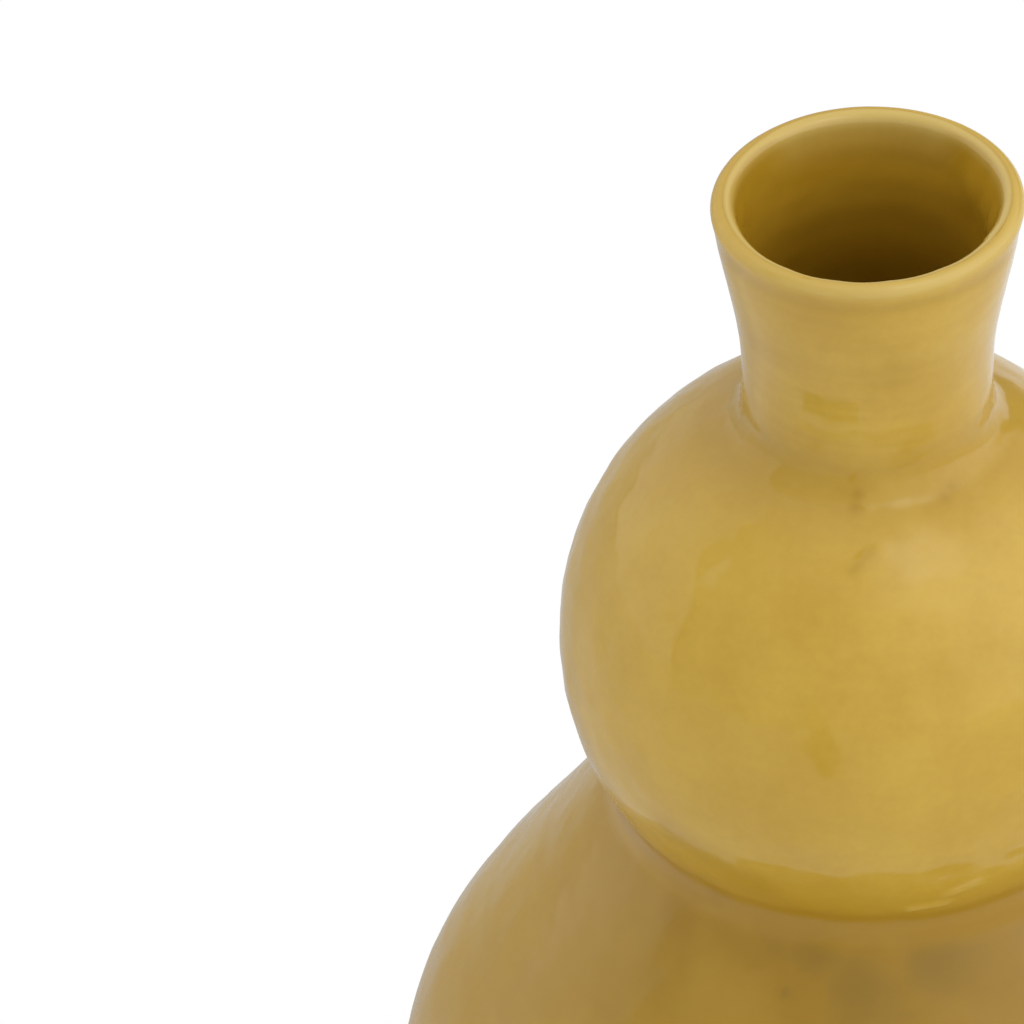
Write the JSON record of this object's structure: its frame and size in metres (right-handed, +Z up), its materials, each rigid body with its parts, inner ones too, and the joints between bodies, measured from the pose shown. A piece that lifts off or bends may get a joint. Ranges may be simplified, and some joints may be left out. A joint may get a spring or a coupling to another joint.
{
  "type": "double gourd vase",
  "caption": "Ochre glazed ceramic vase, a small bulb set on a larger one under a flared neck with a rounded lip, hollow to hold water and flower stems.",
  "frame": {"origin": "centre of the foot ring's underside, on the surface that the vase stands on", "axes": "+Z up along the axis of the vase, +X and +Y free because the vase is round"},
  "size_m": [0.2436, 0.2436, 0.386],
  "materials": {
    "stoneware_clay": "bare fired stoneware, turned, matt",
    "luting_slip": "fired clay slip, matt",
    "ochre_glaze": "ochre yellow glaze, glossy, thicker and darker in creases"
  },
  "bodies": {
    "root": {"foot_ring": "stoneware_clay", "base_bowl": "stoneware_clay", "lower_shoulder": "stoneware_clay", "waist_coil": "stoneware_clay", "upper_bowl": "stoneware_clay", "upper_shoulder": "stoneware_clay", "neck_coil": "stoneware_clay", "neck": "stoneware_clay", "foot_slip": "luting_slip", "belly_slip": "luting_slip", "waist_slip": "luting_slip", "bulb_slip": "luting_slip", "neck_slip": "luting_slip", "outer_glaze": "ochre_glaze", "inner_glaze": "ochre_glaze"}
  },
  "joints": []
}
